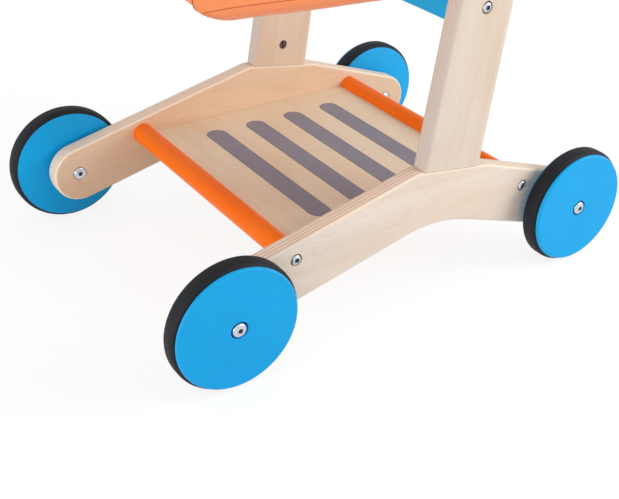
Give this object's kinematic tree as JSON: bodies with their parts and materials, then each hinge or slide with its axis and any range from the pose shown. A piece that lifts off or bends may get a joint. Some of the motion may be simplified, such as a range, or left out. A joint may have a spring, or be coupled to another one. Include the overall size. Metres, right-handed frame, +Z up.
{
  "type": "toddler push cart",
  "caption": "Toddler's wooden push cart: cranked plywood sides on rubber-tyred wheels, a low slatted-grip deck, leaning posts, a fabric basket in a rim and a cross handle.",
  "frame": {"origin": "on the ground, in the middle of the four wheels and of the overall box", "axes": "+Z up; +Y rearwards, towards the handle and the child who pushes; +X to the child's left, along the axles"},
  "size_m": [0.3738, 0.5116, 0.5001],
  "materials": {
    "birch_ply": "clear satin lacquer on birch plywood",
    "dowel_beech": "bare beech",
    "blue_paint": "satin blue paint on wood",
    "orange_paint": "satin orange paint on wood",
    "grip_grey": "matt grey grip strip",
    "tyre_rubber": "black rubber ring",
    "plated_steel": "bright zinc plate",
    "spacer_nylon": "black nylon",
    "canvas": "woven orange canvas"
  },
  "bodies": {
    "frame": {"basket": "canvas", "cross_board": "blue_paint", "cross_board_left_bolt": "plated_steel", "cross_board_left_nut": "plated_steel", "cross_board_right_bolt": "plated_steel", "cross_board_right_nut": "plated_steel", "deck": "birch_ply", "front_left_axle_bolt": "plated_steel", "front_left_axle_nut": "plated_steel", "front_left_spacer": "spacer_nylon", "front_rail": "blue_paint", "front_right_axle_bolt": "plated_steel", "front_right_axle_nut": "plated_steel", "front_right_spacer": "spacer_nylon", "front_rod": "orange_paint", "front_rod_left_bolt": "plated_steel", "front_rod_right_bolt": "plated_steel", "grip_strip_1": "grip_grey", "grip_strip_2": "grip_grey", "grip_strip_3": "grip_grey", "grip_strip_4": "grip_grey", "handle": "orange_paint", "handle_left_bolt": "plated_steel", "handle_right_bolt": "plated_steel", "left_post": "birch_ply", "left_post_bolt": "plated_steel", "left_post_front_dowel": "dowel_beech", "left_post_nut": "plated_steel", "left_post_rear_dowel": "dowel_beech", "left_rail": "birch_ply", "left_rail_front_bolt": "plated_steel", "left_rail_rear_bolt": "plated_steel", "left_side_plate": "birch_ply", "rear_left_axle_bolt": "plated_steel", "rear_left_axle_nut": "plated_steel", "rear_left_spacer": "spacer_nylon", "rear_rail": "blue_paint", "rear_right_axle_bolt": "plated_steel", "rear_right_axle_nut": "plated_steel", "rear_right_spacer": "spacer_nylon", "rear_rod": "orange_paint", "rear_rod_left_bolt": "plated_steel", "rear_rod_right_bolt": "plated_steel", "right_post": "birch_ply", "right_post_bolt": "plated_steel", "right_post_front_dowel": "dowel_beech", "right_post_nut": "plated_steel", "right_post_rear_dowel": "dowel_beech", "right_rail": "birch_ply", "right_rail_front_bolt": "plated_steel", "right_rail_rear_bolt": "plated_steel", "right_side_plate": "birch_ply"},
    "front_left_roller": {"front_left_wheel": "blue_paint", "front_left_tyre": "tyre_rubber"},
    "front_right_roller": {"front_right_wheel": "blue_paint", "front_right_tyre": "tyre_rubber"},
    "rear_left_roller": {"rear_left_wheel": "blue_paint", "rear_left_tyre": "tyre_rubber"},
    "rear_right_roller": {"rear_right_wheel": "blue_paint", "rear_right_tyre": "tyre_rubber"}
  },
  "joints": [
    {"name": "front_left_axle", "type": "hinge", "parent": "frame", "child": "front_left_roller", "pos_m": [0.17425, -0.196, 0.05977], "axis": [1, 0, 0], "continuous": true},
    {"name": "front_right_axle", "type": "hinge", "parent": "frame", "child": "front_right_roller", "pos_m": [-0.17425, -0.196, 0.05977], "axis": [1, 0, 0], "continuous": true},
    {"name": "rear_left_axle", "type": "hinge", "parent": "frame", "child": "rear_left_roller", "pos_m": [0.17425, 0.196, 0.05977], "axis": [1, 0, 0], "continuous": true},
    {"name": "rear_right_axle", "type": "hinge", "parent": "frame", "child": "rear_right_roller", "pos_m": [-0.17425, 0.196, 0.05977], "axis": [1, 0, 0], "continuous": true}
  ]
}
